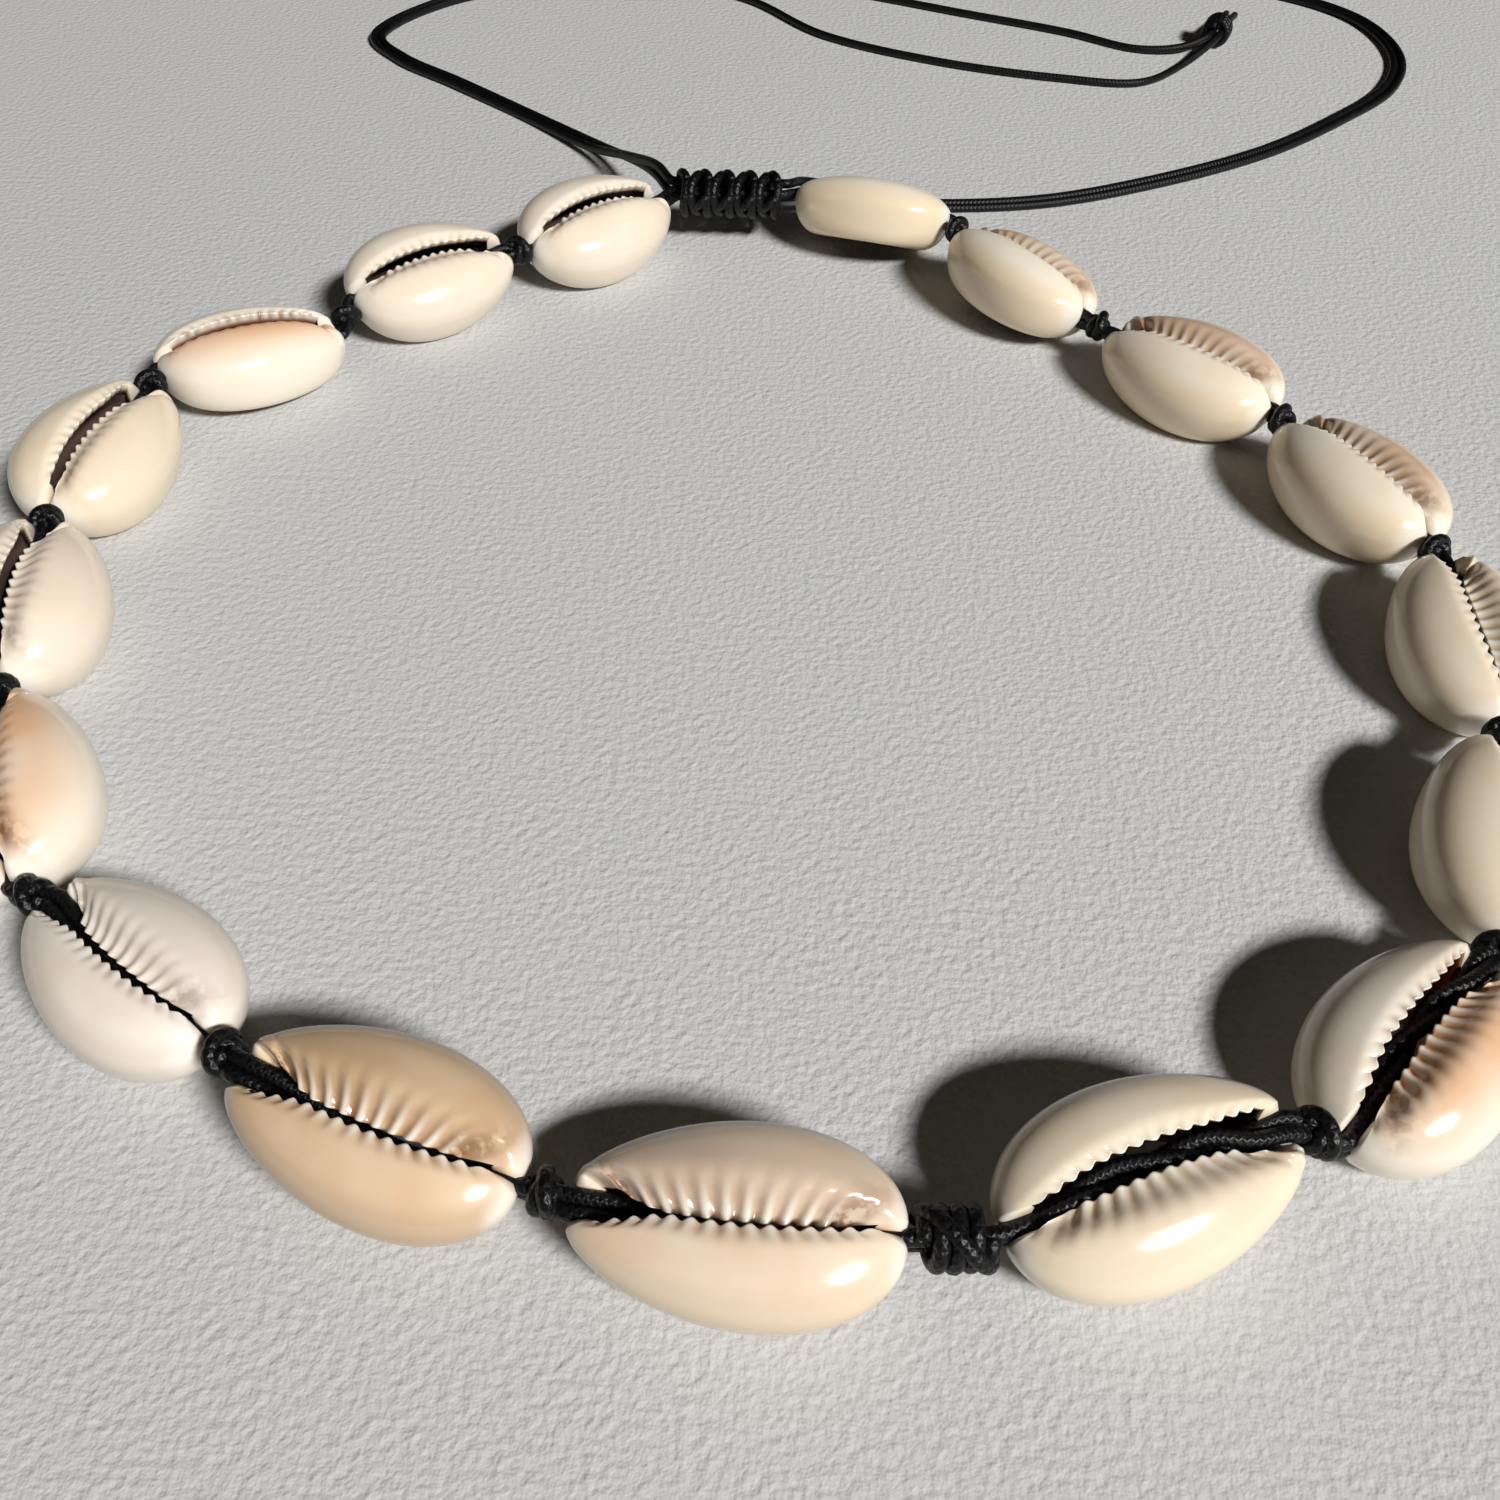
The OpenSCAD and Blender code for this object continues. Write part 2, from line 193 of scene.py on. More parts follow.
class Tone(Enum):
    """Shell colours: crown, blush, margin, inner lip, the painted shade inside, and a share of
    stain.
    """

    IVORY = ("#f5ebdb", "#f0dcc2", "#e6dac8", "#ecdcc8", "#3d2824", 0.3)
    CREAM = ("#f3e6cf", "#efdcc0", "#e6d8bf", "#ecdac1", "#4b342e", 0.2)
    CORAL = ("#f7eedf", "#f3e3cc", "#efe4d2", "#ecbe94", "#9a5626", 0.7)
    PEACH = ("#f1e2cd", "#eccba8", "#dccbb2", "#cbb5a0", "#8f5326", 0.7)
    HONEY = ("#e8cfb0", "#dfba92", "#bfa88d", "#c8aa86", "#7a4a28", 0.9)
    DOVE = ("#f7eee2", "#efe1cf", "#dcd1c3", "#ece2d8", "#5a4238", 0.35)
    TAN = ("#f9efdd", "#f4e3c8", "#ebd8b8", "#d0b294", "#5b4038", 0.6)


# Attributes that each shell's mesh carries for its enamel, from 0 to 1
MASKS = ("groove", "ridge", "lip", "tip", "inside", "stain", "inner_lip")


@dataclass(frozen=True)
class CowrieEnamel:
    """Cowrie shell: the polished enamel that the animal lays down, smooth as glazed china."""

    tone: Tone
    white: str = "#fbf4e8"
    stain: str = "#7a4a1e"
    ridge: str = "#f7efe2"
    drift_mm: float = 7.0
    cast_mm: float = 8.0
    dirt_mm: float = 2.2
    pit_mm: float = 0.9
    least_dirt: float = 0.12
    pitting: float = 1.6
    roughness: float = 0.16
    ior: float = 1.6
    glow: float = 0.25
    glow_mm: float = 1.0

    @cache
    def build(self) -> Material:
        """Makes the material, once for each tone.

        Returns:
            The enamel in this tone.
        """
        crown, blush, margin, inner_lip, inner, stained = self.tone.value
        material, tree = new_material(f"cowrie_enamel_{self.tone.name.lower()}")
        mask = {
            key: add_node(tree, "ShaderNodeAttribute", {"attribute_name": key}).outputs["Fac"]
            for key in MASKS
        }
        # Colour drifts over a few millimetres, and turns to the margin's towards the side
        drift = spread(tree, scaled_noise(tree, self.drift_mm, 2.0), 0.35, 0.7, 0.75)
        colour = tint(tree, drift, linear(crown), blush)
        colour = tint(tree, spread(tree, mask["lip"], 0.42, 0.02, 0.8), colour, margin)
        # The inner lip has its own cast, in soft patches that fade out towards the side
        patch = spread(tree, scaled_noise(tree, self.cast_mm, 1.0), 0.3, 0.6, 0.5)
        cast = times(tree, plus(tree, patch, 0.45), spread(tree, mask["lip"], 0.0, 0.5))
        colour = tint(tree, times(tree, mask["inner_lip"], cast), colour, inner_lip)
        colour = tint(tree, spread(tree, mask["tip"], 0.2, 1.0, 0.75), colour, self.white)
        colour = tint(tree, spread(tree, mask["ridge"], 0.3, 0.9, 0.8), colour, self.ridge)
        # Old dirt stays in the grooves, more in some of them than in others
        patch = spread(tree, scaled_noise(tree, self.dirt_mm, 3.0), 0.38, 0.62)
        dirt = times(tree, mask["groove"], mix(self.least_dirt, 1.0, stained))
        dirt = times(tree, dirt, plus(tree, times(tree, patch, 0.65), 0.35))
        colour = tint(tree, dirt, colour, self.stain)
        pits = spread(tree, scaled_noise(tree, self.pit_mm, 3.0), 0.4, 0.55)
        pits = times(tree, pits, min(1.0, self.pitting * stained))
        colour = tint(tree, times(tree, mask["stain"], pits), colour, self.stain)
        # Painted shade and glow: the inside, the lips' faces down in the mouth and the notches'
        # floors take the tone's dark inside colour, orange-brown in the warmer tones
        colour = tint(tree, spread(tree, mask["inside"], 0.0, 0.8, 0.95), colour, inner)
        fine = bumped(tree, scaled_noise(tree, self.pit_mm, 3.0), 0.05, 0.06)
        finish_material(tree, {
            "Base Color": colour,
            "Roughness": self.roughness,
            "IOR": self.ior,
            "Subsurface Weight": self.glow,
            "Subsurface Radius": (1.0, 0.75, 0.55),
            "Subsurface Scale": self.glow_mm * MM,
            "Normal": fine,
        })
        return material


@dataclass(frozen=True)
class WaxedCord:
    """Waxed polyester cord: a fine black braid, waxed so that it glints softly."""

    strands: int = 5
    lay_mm: float = 2.8
    depth_mm: float = 0.022
    colour: str = "#060607"
    # Colour laid on the strands' crests, as painted light
    painted_crest_light: str = "#101114"
    ior: float = 1.35

    @cache
    def build(self) -> Material:
        """Makes the material, once for all cords.

        Returns:
            The waxed braid, which follows the cord's UV map: U round it and V along it in mm.
        """
        material, tree = new_material("waxed_braid")
        place = add_node(tree, "ShaderNodeUVMap", {"uv_map": "cord"})
        parts = add_node(tree, "ShaderNodeSeparateXYZ", sockets={0: place.outputs["UV"]})
        around = times(tree, parts.outputs["X"], 2 * pi * self.strands)
        along = times(tree, parts.outputs["Y"], 2 * pi * self.strands / self.lay_mm)
        # Strands that wind left and right, and lie over each other in turn
        left = arithmetic(tree, "SINE", plus(tree, around, along))
        right = arithmetic(tree, "SINE", arithmetic(tree, "SUBTRACT", around, along))
        height = arithmetic(tree, "MAXIMUM", left, right)
        # Painted light: the strands' crests are laid lighter than the dips between them
        colour = tint(tree, spread(tree, height, 0.2, 1.0, 0.8), linear(self.colour), self.painted_crest_light)
        # Wax lies unevenly, so that some strands shine more than others
        gloss = plus(tree, times(tree, scaled_noise(tree, 1.5, 2.0), 0.3), 0.27)
        finish_material(tree, {
            "Base Color": colour, "Roughness": gloss, "IOR": self.ior,
            "Normal": bumped(tree, height, self.depth_mm, 1.0)})
        return material


@dataclass(frozen=True)
class PaintedBoard:
    """Painted board: the matt pale grey surface that the necklace lies on, finely stippled."""

    colour: str = "#cccdcc"
    stipple_mm: float = 0.75
    depth_mm: float = 0.25
    roughness: float = 0.85
    shine: float = 0.25

    def build(self) -> Material:
        """Makes the material.

        Returns:
            The board's paint.
        """
        material, tree = new_material("painted_board")
        stipple = bumped(tree, scaled_noise(tree, self.stipple_mm, 2.0), self.depth_mm, 0.9)
        finish_material(tree, {
            "Base Color": linear(self.colour), "Roughness": self.roughness,
            "Specular IOR Level": self.shine, "Normal": stipple})
        return material


def ring_edges(mesh: BMesh, ring: list[BMVert]) -> list[bmesh.types.BMEdge]:
    """The edges of a closed ring of vertices, in order."""
    return [mesh.edges.get((a, b)) for a, b in zip(ring, ring[1:] + ring[:1])]


def next_ring(mesh: BMesh, ring: list[BMVert]) -> list[BMVert]:
    """Extrudes a closed ring of vertices.

    Args:
        mesh: The mesh that holds the ring.
        ring: The ring's vertices, in order.

    Returns:
        The new ring, in the same order, still in the old ring's place.
    """
    made = bmesh.ops.extrude_edge_only(mesh, edges=ring_edges(mesh, ring))["geom"]
    fresh = {v for v in made if isinstance(v, BMVert)}
    return [next(e.other_vert(v) for e in v.link_edges if e.other_vert(v) in fresh) for v in ring]


def finish_piece(name: str, mesh: BMesh, material: Material, node: str) -> Object:
    """Turns a bmesh in millimetres into a piece that rides on the necklace.

    Args:
        name: The piece's name.
        mesh: The bmesh, which is freed.
        material: The piece's material.
        node: The node of the model that the piece stands for.

    Returns:
        The new object.
    """
    bmesh.ops.recalc_face_normals(mesh, faces=mesh.faces)
    bmesh.ops.scale(mesh, vec=(MM, MM, MM), verts=mesh.verts)
    data = bpy.data.meshes.new(name)
    mesh.to_mesh(data)
    mesh.free()
    data.polygons.foreach_set("use_smooth", [True] * len(data.polygons))
    data.materials.append(material)
    piece = bpy.data.objects.new(name, data)
    bpy.context.scene.collection.objects.link(piece)
    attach(piece, BODY)
    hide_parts(node)
    LOG.info("%s: %d faces", name, len(data.polygons))
    return piece


@dataclass(frozen=True)
class ShellPlace:
    """Where a shell lies, and its own sizes, in millimetres and degrees."""

    x: float
    y: float
    heading: float
    lean: float
    fall: float
    length: float
    width: float
    gap: float
    cord: float
    tone: Tone


# Columns: x, y, heading, lean, fall, length, width, mouth's gap, cord's level, tone
PLACES = tuple(ShellPlace(*row) for row in (
    (-19.5, 60.3, 43, -15, 2, 20.4, 14.2, 0.7, 4.0, Tone.IVORY),
    (-37.5, 46.4, 35, -20, 0, 19.8, 13.8, 0.7, 4.0, Tone.IVORY),
    (-54.7, 31.2, 30, 5, 4, 20.0, 13.4, 1.2, 4.2, Tone.CORAL),
    (-64.2, 11.4, 78, -10, -2, 20.0, 14.2, 1.2, 4.3, Tone.CREAM),
    (-63.4, -11.2, 97, -10, -2, 19.8, 14.6, 1.2, 4.3, Tone.IVORY),
    (-57.3, -32.6, 112, 5, -2, 19.8, 14.2, 1.2, 3.8, Tone.CORAL),
    (-42.5, -48.6, 143, 3, 0, 18.8, 12.6, 1.3, 3.9, Tone.DOVE),
    (-22.5, -60.5, 160, 10, -3, 20.8, 12.6, 1.2, 2.8, Tone.HONEY),
    (0.9, -66.1, 175, 8, 2, 21.2, 12.6, 1.1, 2.7, Tone.PEACH),
    (27.1, -62.8, 21, 11, -2, 20.8, 13.2, 2.3, 4.9, Tone.CREAM),
    (47.4, -52.3, 46, 0, -3, 19.6, 13.6, 2.4, 4.8, Tone.CORAL),
    (60.1, -33.6, 77, 8, -3, 19.8, 13.6, 1.5, 4.0, Tone.CREAM),
    (65.0, -9.9, 88, 0, -2, 20.6, 13.6, 1.6, 4.0, Tone.CREAM),
    (61.0, 12.9, 115, 2, 2, 20.8, 14.0, 1.4, 3.2, Tone.TAN),
    (48.1, 32.3, 135, -5, 2, 20.8, 14.0, 1.2, 3.2, Tone.TAN),
    (31.7, 51.1, 130, 15, -2, 20.4, 13.4, 1.5, 3.2, Tone.TAN),
    (14.7, 66.6, 165, 28, 0, 19.6, 12.6, 1.8, 3.2, Tone.TAN),
))
# Shells up to the centre knot point their front ends back towards the sliding knot
FRONT_FIRST = 9

# Places of the grid's points: from the mouth's edge to the rim, down the wall as shares of the
# widest level, up the inside as that share with a share of the wall, and across a notch's half
LIP_STEPS = (0, 0.02, 0.045, 0.075, 0.11, 0.15, 0.2, 0.26, 0.33, 0.41, 0.5, 0.6, 0.7, 0.79, 0.86,
             0.92, 0.96, 0.985)
WALL_STEPS = (1.0, 0.95, 0.88, 0.78, 0.64, 0.48, 0.33, 0.2, 0.1, 0.03, 0.0)
INSIDE_STEPS = ((0.0, 0.9), (0.12, 1.0), (0.4, 1.0))
UNDER_STEPS = (1.0, 0.75, 0.5, 0.25)
MOUTH_STEPS = (1, 0.7, 0.4, 0.15)
NOTCH_STEPS = (0.0, 0.3, 0.5, 0.65, 0.78, 0.9)


@dataclass(frozen=True)
class CowrieForm:
    """Proportions that all the shells share, in millimetres unless a share or a power."""

    height: float = 8.5
    middle_width: float = 13.8
    turn_share: float = 0.6
    wall: float = 1.2
    wall_top: float = 0.8
    widest_level: float = 4.2
    cut_length: float = 0.66
    cut_width: float = 0.68
    cut_power: float = 0.8
    egg_share: float = 0.12
    side_power: float = 0.95
    dome_power: float = 2.2
    front_corner: float = 1.15
    back_corner: float = 0.45
    front_tip: float = 7
    back_tip: float = 3
    side_steps: int = 120
    reach: float = 0.84
    bow: float = 0.8
    slit: float = 0.8
    least_gap: float = 0.12
    front_gap: float = 1.15
    back_gap: float = 0.08
    teeth: int = 15
    least_relief: float = 0.6
    most_relief: float = 1.1
    drop_fade: float = 0.6
    fold: float = 0.6
    fold_run: float = 4.2
    pit_run: float = 4.2
    overhang: float = 0.5
    notch_recess: float = 0.7
    notch_lap: float = 0.2
    notch_depth: float = 0.9
    front_floor: float = 3.1
    back_floor: float = 2.7
    front_notch: float = 1.25
    back_notch: float = 0.2
    open_notch: float = 0.65
    riding_gap: float = 1.9


@dataclass(frozen=True)
class LipForm:
    """One lip's own shape: how its edge drops into the mouth, and how its teeth run out."""

    side: int
    drop: float
    crest: float
    thickness: float
    tooth_in: float
    tooth_up: float
    tooth_run: float
    sharpness: float
    phase: float
    first_tooth: float
    last_tooth: float


OUTER_LIP = LipForm(side=1, drop=0.4, crest=1.3, thickness=1.5, tooth_in=0.3, tooth_up=0.08,
                    tooth_run=1.1, sharpness=0.8, phase=0.35, first_tooth=0.05, last_tooth=0.95)
INNER_LIP = LipForm(side=-1, drop=1.6, crest=3.2, thickness=1.2, tooth_in=0.2, tooth_up=0.33,
                    tooth_run=2.9, sharpness=0.75, phase=0.0, first_tooth=0.17, last_tooth=0.84)


@dataclass(frozen=True)
class Station:
    """One column of the shell's grid: its mouth edge, its rim and its place along its side.

    The share is 0 at the front and 1 at the back, and the notch is 1 in the middle of a notch.
    """

    lip: LipForm
    edge: Vector
    rim: Vector
    share: float
    notch: float
    floor: float


@dataclass
class Cowrie:
    """A sliced cowrie, mouth up: a closed wall with toothed lips, and a notch at each end."""

    number: int
    place: ShellPlace
    form: CowrieForm = field(default_factory=CowrieForm)

    @property
    def half_length(self) -> float:
        """Half the shell's length."""
        return self.place.length / 2

    @property
    def half_width(self) -> float:
        """Half the shell's width."""
        return self.place.width / 2

    @property
    def height(self) -> float:
        """A narrow shell is lower too."""
        return self.form.height * self.place.width / self.form.middle_width

    @property
    def relief(self) -> float:
        """How high the teeth's ridges stand: the more worn and stained a shell, the higher."""
        return mix(self.form.least_relief, self.form.most_relief, self.place.tone.value[-1])

    @property
    def rides(self) -> bool:
        """Whether the cord pair lies in the shell's wide mouth, in sight, and not under it."""
        return self.place.gap >= self.form.riding_gap

    @cached_property
    def turn(self) -> Matrix:
        """The shell's lean, fall and heading, in one turn."""
        lean = self.place.lean * (-1 if self.number <= FRONT_FIRST else 1)
        return (Matrix.Rotation(radians(self.place.heading), 3, "Z")
                @ Matrix.Rotation(radians(self.place.fall), 3, "Y")
                @ Matrix.Rotation(radians(lean), 3, "X"))

    def turned(self, point: Vector) -> Vector:
        """Turns a point of the shell about its turning level."""
        return self.turn @ (point - Vector((0, 0, self.form.turn_share * self.form.height)))

    def notch_floor(self, front: bool) -> float:
        """Level of the notch's floor, at the front or the back end."""
        return self.form.front_floor if front or self.rides else self.form.back_floor

    def notch_half(self, front: bool) -> float:
        """Half the width of the notch that the cords leave by, at the front or the back end."""
        back = self.form.open_notch if self.rides else self.form.back_notch
        return self.form.front_notch if front else back

    def bow_at(self, at: float) -> float:
        """How far the mouth bows towards the outer lip, at a share of the half length."""
        return self.form.bow * (1 - (at / self.form.reach) ** 2)

    def half_gap(self, at: float) -> float:
        """Half the mouth's width between the teeth's tips: it opens in front and closes behind.

        Args:
            at: The place, as a share of the half length, below 0 behind the middle.

        Returns:
            Half the width, in millimetres.
        """
        form = self.form
        half = max(form.least_gap, (self.place.gap - form.slit) / 2)
        if at > 0:
            return mix(half, min(form.front_gap, self.place.gap), smooth(0.35, form.reach, at))
        return mix(half, max(form.back_gap, half / 2), smooth(0.3, form.reach, -at))

    def tooth(self, station: Station) -> float:
        """Height of the tooth wave at a column, from 0 in a groove to 1 on a ridge."""
        wave = 0.5 + 0.5 * cos(2 * pi * (self.form.teeth * station.share - station.lip.phase))
        return wave ** station.lip.sharpness

    def tooth_fade(self, station: Station) -> float:
        """How strong the teeth are: they fade out near the ends of the mouth."""
        lip, share = station.lip, station.share
        return (smooth(lip.first_tooth - 0.05, lip.first_tooth + 0.03, share)
                * smooth(lip.last_tooth + 0.06, lip.last_tooth - 0.04, share))

    def outline(self, lip: LipForm, angle: float) -> Vector:
        """The shell's rim at its widest level.

        Args:
            lip: The lip on the rim's side.
            angle: The angle from the front end, in radians.

        Returns:
            The point of the rim.
        """
        form = self.form
        corner = form.front_corner if cos(angle) > 0 else form.back_corner
        half = self.half_width * sin(angle) ** form.side_power * (1 - form.egg_share * cos(angle))
        return Vector((self.half_length * cos(angle),
                       lip.side * (half + corner * (1 - sin(angle)) ** 2), 0))

    def side_station(self, lip: LipForm, share: float) -> Station:
        """A column between the notches.

        Args:
            lip: The lip on its side.
            share: Its share of the way from front to back.

        Returns:
            The column.
        """
        form = self.form
        front = share < 0.5
        at = mix(form.reach, -form.reach, share)
        edge = Vector((self.half_length * at,
                       self.bow_at(at) + lip.side * (self.half_gap(at) + lip.tooth_in), 0))
        # Near each end the mouth's edge draws in towards the notch's side
        corner = Vector(((1 if front else -1) * (self.half_length - form.notch_recess - form.wall),
                         lip.side * (self.notch_half(front) + 0.05), 0))
        ends = smooth(0.06, 0.0, share) + smooth(0.93, 1.0, share)
        angle = radians(mix(form.front_tip, 180 - form.back_tip,
                            mix(share, smooth(0, 1, share), 0.25)))
        return Station(lip, edge.lerp(corner, 0.85 * ends), self.outline(lip, angle), share, 0,
                       self.notch_floor(front))

    def notch_station(self, lip: LipForm, across: float, front: bool) -> Station:
        """A column in a notch.

        Args:
            lip: The lip on its side.
            across: Its share of the way from the notch's middle to its side.
            front: Whether it is in the front notch.

        Returns:
            The column.
        """
        form = self.form
        end = 1 if front else -1
        y = lip.side * self.notch_half(front) * across
        stand = mix(form.notch_recess, 0.1, smooth(0.5, 1.0, across))
        inset = form.notch_recess + form.wall + form.notch_lap
        return Station(lip, Vector((end * (self.half_length - inset), y, 0)),
                       Vector((end * (self.half_length - stand), y, 0)), 0 if front else 1,
                       1 - smooth(0.45, 1.05, across), self.notch_floor(front))

    def stations(self) -> list[Station]:
        """Works out all the columns.

        Returns:
            The columns, once round the shell from the middle of its front notch.
        """
        halves = []
        for lip in (OUTER_LIP, INNER_LIP):
            half = [self.notch_station(lip, across, True) for across in NOTCH_STEPS]
            half += [self.side_station(lip, share) for share in shares(self.form.side_steps)]
            half += [self.notch_station(lip, across, False) for across in reversed(NOTCH_STEPS)]
            halves.append(half)
        # The middle column of each notch belongs to both halves
        return halves[0] + halves[1][-2:0:-1]

    def dome(self, point: Vector, rim: Vector) -> float:
        """Level of the smooth mouth side over a point, on the way to a point of the rim."""
        out, whole = (hypot(p.x / self.half_length, p.y / self.half_width) for p in (point, rim))
        return mix(self.form.widest_level, self.height,
                   sqrt(1 - min(1.0, out / whole) ** self.form.dome_power))

    def cross_fold(self, station: Station, run: float) -> float:
        """Height of the fold that crosses the inner lip's front, with the furrow behind it."""
        fold = bump(station.share, 0.085, 0.03) - 0.5 * bump(station.share, 0.135, 0.02)
        return self.form.fold * fold * clamp(1 - run / self.form.fold_run)

    def lip_point(self, station: Station, t: float) -> Vector:
        """A point of the mouth side.

        Args:
            station: Its column.
            t: Its share of the way from the mouth's edge to the rim.

        Returns:
            The point, in the shell's own frame.
        """
        lip = station.lip
        point = station.edge.lerp(station.rim, t)
        run, whole = (point - station.edge).length, (station.rim - station.edge).length
        # The edge drops into the mouth, less towards the back end
        drop = lip.drop * (1 - self.form.drop_fade * smooth(0.84, 1.0, station.share))
        fall = drop * (1 - smooth(0, 1, run / min(lip.crest, 0.8 * whole))) ** 1.4
        wave = self.tooth(station) * self.tooth_fade(station)
        near = self.relief * clamp(1 - run / lip.tooth_run)
        level = self.dome(point, station.rim) - fall + lip.tooth_up * near * (wave - 0.5)
        if lip is INNER_LIP:
            level += self.cross_fold(station, run)
        point.y -= lip.side * lip.tooth_in * wave * clamp(1 - run / 0.9) * (1 - station.notch)
        return Vector((point.x, point.y, mix(level, station.floor, station.notch)))

    def mouth_point(self, station: Station, t: float) -> Vector:
        """A point of the lip's face in the mouth.

        Args:
            station: Its column.
            t: Its share of the way from the face's top to its underside.

        Returns:
            The point, in the shell's own frame.
        """
        lip, solid = station.lip, 1 - station.notch
        wave = self.tooth(station) * self.tooth_fade(station)
        depth = mix(lip.thickness, self.form.notch_depth, station.notch) * t
        back = self.form.overhang * t * t + lip.tooth_in * wave * t * solid
        return self.lip_point(station, 0) + Vector((0, lip.side * back * solid, -depth))

    def wall_point(self, station: Station, level: float, inset: float) -> Vector:
        """A point of the side wall.

        Args:
            station: Its column.
            level: Its level, as a share of the widest level.
            inset: How deep it is in the wall, in millimetres.

        Returns:
            The point, in the shell's own frame.
        """
        form = self.form
        rise = sqrt(1 - (1 - level) ** 2)
        rim = Vector((station.rim.x * mix(form.cut_length, 1, rise),
                      station.rim.y * mix(form.cut_width, 1, rise ** form.cut_power), 0))
        rim *= 1 - inset / rim.length
        top = mix(form.widest_level, station.floor - 0.3, station.notch)
        return Vector((rim.x, rim.y, top * level))

    def under_point(self, station: Station, t: float) -> Vector:
        """A point under the mouth side.

        Args:
            station: Its column.
            t: Its share of the way from the mouth to the wall.

        Returns:
            The point, in the shell's own frame.
        """
        top = self.wall_point(station, self.form.wall_top, self.form.wall)
        point = self.mouth_point(station, 1).lerp(top, t)
        point.z += 0.5 * sin(pi * t) * (1 - station.notch)
        return point

    def section(self, station: Station) -> list[tuple[Vector, float, float]]:
        """One column's points, once round the wall.

        Args:
            station: The column.

        Returns:
            Each point with its share of the way to the rim, and how far it is inside, up to 1,
            which is its share of the inside's painted shade.
        """
        wall = self.form.wall
        points = [(self.lip_point(station, t), t, 0.0) for t in LIP_STEPS]
        points += [(self.wall_point(station, level, 0), 1.0, 0.0) for level in WALL_STEPS]
        points += [(self.wall_point(station, level, deep * wall), 1.0, 1.0)
                   for level, deep in INSIDE_STEPS]
        points += [(self.under_point(station, t), t, 1.0) for t in UNDER_STEPS]
        # The lip's faces turn to the inside's painted shade as they go down into the mouth
        points += [(self.mouth_point(station, t), 0.0, smooth(0.15, 1.05, t)) for t in MOUTH_STEPS]
        return points

    @cached_property
    def columns(self) -> list[tuple[Station, list[tuple[Vector, float, float]]]]:
        """The shell's columns, each with its points."""
        return [(station, self.section(station)) for station in self.stations()]

    @cached_property
    def lift(self) -> float:
        """How far the turned shell is raised, so that its lowest point touches the surface."""
        return -min(self.turned(p).z for _, section in self.columns for p, _, _ in section)

    def placed(self, point: Vector) -> Vector:
        """A point of the shell where the shell lies."""
        return self.turned(point) + Vector((self.place.x, self.place.y, self.lift))

    def masks(self, station: Station, point: Vector, t: float, inside: float) -> dict[str, float]:
        """The enamel's masks at a point.

        Args:
            station: The point's column.
            point: The point, in the shell's own frame.
            t: Its share of the way to the rim.
            inside: How far it is inside, up to 1, which sets its share of painted shade.

        Returns:
            The value of each mask that isn't 0 all over the point's side.
        """
        share, notch, run = station.share, station.notch, t * (station.rim - station.edge).length
        near = clamp(1 - run / (station.lip.tooth_run * 1.15))
        near *= self.tooth_fade(station) * (1 - notch)
        wave = self.tooth(station)
        # The floor of each notch gets painted shade, nearly as dark as the inside
        masks = {"groove": (1 - wave) * near ** 1.8, "ridge": wave * near, "lip": 1 - t,
                 "tip": smooth(0.78, 1.02, abs(point.x) / self.half_length),
                 "inside": max(inside, 0.7 * notch * (t < 1))}
        if station.lip is INNER_LIP:
            pitted = max(bump(share, 0.12, 0.035), 0.8 * bump(share, 0.85, 0.05))
            masks["stain"] = (1 - notch) * clamp(1 - run / self.form.pit_run) * pitted
            masks["inner_lip"] = ((1 - inside) * smooth(1.0, 0.6, notch)
                                  * smooth(0.0, 0.12, share) * smooth(1.0, 0.88, share))
        return masks

    def build(self) -> Object:
        """Makes the shell: a ring of columns, extruded round the wall's section and closed.

        Returns:
            The shell, standing for its node.
        """
        mesh = bmesh.new()
        layers = {key: mesh.verts.layers.float.new(key) for key in MASKS}
        ring = bmesh.ops.create_circle(mesh, segments=len(self.columns), radius=1)["verts"]
        first = ring
        for k in range(len(self.columns[0][1])):
            if k:
                ring = next_ring(mesh, ring)
            for vert, (station, section) in zip(ring, self.columns):
                point, t, inside = section[k]
                vert.co = self.placed(point)
                for key, value in self.masks(station, point, t, inside).items():
                    vert[layers[key]] = value
        bmesh.ops.bridge_loops(mesh, edges=ring_edges(mesh, ring) + ring_edges(mesh, first))
        node = f"cowrie_{self.number:02d}"
        enamel = CowrieEnamel(self.place.tone).build()
        return finish_piece(f"{node}_shell", mesh, enamel, node)


@dataclass(frozen=True)
class CordForm:
    """Sizes of the cord and of its pair, in millimetres, and how finely cords are drawn."""

    diameter: float = 1.15
    gap: float = 0.25
    sides: int = 12
    tail_sides: int = 10
    step: float = 0.3
    wrap_step: float = 0.28
    tail_step: float = 0.45

    @property
    def pair_half(self) -> float:
        """Half the distance between the middles of a pair."""
        return (self.diameter + self.gap) / 2


CORD = CordForm()


